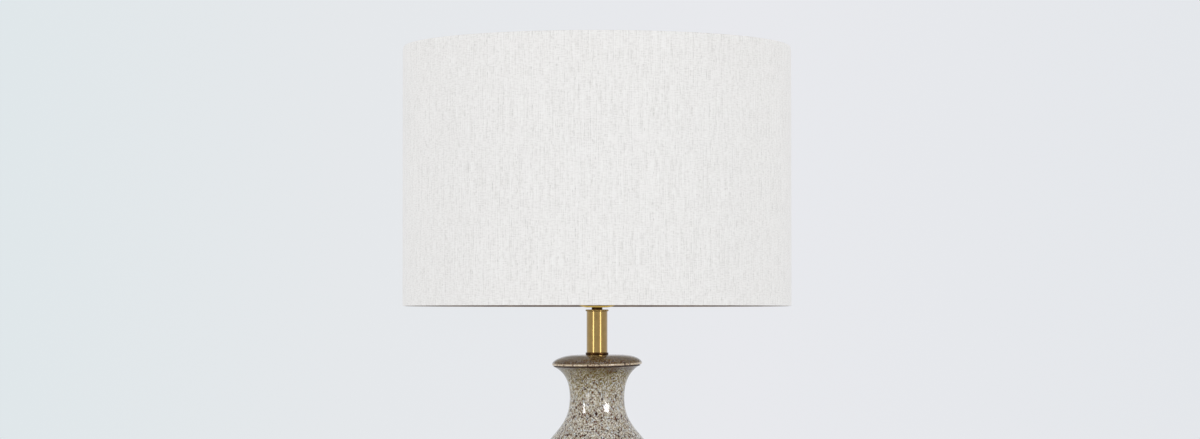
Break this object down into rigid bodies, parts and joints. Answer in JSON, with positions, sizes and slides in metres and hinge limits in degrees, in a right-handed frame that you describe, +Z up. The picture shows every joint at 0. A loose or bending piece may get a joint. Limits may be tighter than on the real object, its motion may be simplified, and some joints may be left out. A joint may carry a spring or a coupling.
{
  "type": "ceramic table lamp",
  "caption": "Table lamp with a speckled ceramic bottle base, brass neck, harp and socket, and a linen drum shade held by a finial.",
  "frame": {"origin": "centre of the foot, on the underside of the felt", "axes": "+Z up along the lamp's axis, -Y to the front as pictured, +X to the right of it"},
  "size_m": [0.4064, 0.4062, 0.6862],
  "materials": {
    "glaze": "glossy grey-green glaze with ochre and dark specks",
    "felt": "black pressed felt",
    "black_rubber": "matt black rubber",
    "zinc_steel": "zinc-plated steel",
    "antique_brass": "satin antique brass",
    "dark_bronze": "dark bronze patina",
    "fibre": "vulcanised fibre",
    "phenolic": "black phenolic moulding",
    "contact_brass": "bright rolled brass",
    "opal_plastic": "opal white",
    "white_plastic": "white moulding",
    "board_aluminium": "white-coated aluminium board",
    "nickel_cap": "nickel-plated rolled sheet",
    "linen": "off-white slub linen",
    "white_lining": "white styrene sheet"
  },
  "bodies": {
    "base": {"ceramic_body": "glaze", "ceramic_foot": "glaze", "foot_felt": "felt", "cord_bushing": "black_rubber", "threaded_rod": "zinc_steel", "rubber_washer": "black_rubber", "bottom_washer": "zinc_steel", "bottom_lock_washer": "zinc_steel", "bottom_nut": "zinc_steel", "seat_ring": "dark_bronze", "neck_tube": "antique_brass", "neck_cap": "antique_brass", "neck_collar": "dark_bronze", "harp_saddle": "antique_brass", "socket_cap": "antique_brass", "socket_set_screw": "zinc_steel", "socket_shell": "antique_brass", "socket_liner": "fibre", "socket_insulator": "phenolic", "screw_shell": "contact_brass", "centre_contact": "contact_brass", "terminal_screws": "contact_brass", "switch_collar": "phenolic"},
    "harp": {"harp_frame": "antique_brass", "harp_seat": "antique_brass"},
    "ferrule_l": {"ferrule_left": "antique_brass"},
    "ferrule_r": {"ferrule_right": "antique_brass"},
    "switch": {"switch_shaft": "contact_brass", "switch_knob": "phenolic"},
    "bulb": {"bulb_dome": "opal_plastic", "bulb_housing": "white_plastic", "bulb_led_board": "board_aluminium", "bulb_cap": "nickel_cap", "bulb_tip_insulator": "phenolic", "bulb_tip_contact": "zinc_steel"},
    "shade": {"shade_fabric": "linen", "shade_liner": "white_lining", "shade_top_ring": "antique_brass", "shade_bottom_ring": "dark_bronze", "spider_arms": "antique_brass", "spider_hub": "antique_brass"},
    "finial_screw": {"finial": "antique_brass"}
  },
  "joints": [
    {"name": "harp_lift", "type": "slide", "parent": "base", "child": "harp", "axis": [0, 0, 1], "range_m": [0, 0.03]},
    {"name": "ferrule_left_slide", "type": "slide", "parent": "harp", "child": "ferrule_l", "axis": [0, 0, 1], "range_m": [0, 0.012]},
    {"name": "ferrule_right_slide", "type": "slide", "parent": "harp", "child": "ferrule_r", "axis": [0, 0, 1], "range_m": [0, 0.012]},
    {"name": "shade_swivel", "type": "hinge", "parent": "harp", "child": "shade", "pos_m": [0, 0, 0.655], "axis": [0, 0, 1], "continuous": true},
    {"name": "finial_turn", "type": "hinge", "parent": "harp", "child": "finial_screw", "pos_m": [0, 0, 0.6582], "axis": [0, 0, 1], "range_deg": [0, 3600]},
    {"name": "bulb_turn", "type": "hinge", "parent": "base", "child": "bulb", "pos_m": [0, 0, 0.4578], "axis": [0, 0, 1], "range_deg": [0, 1440]},
    {"name": "switch_turn", "type": "hinge", "parent": "base", "child": "switch", "pos_m": [0, -0.018, 0.4454], "axis": [0, 1, 0], "continuous": true}
  ]
}
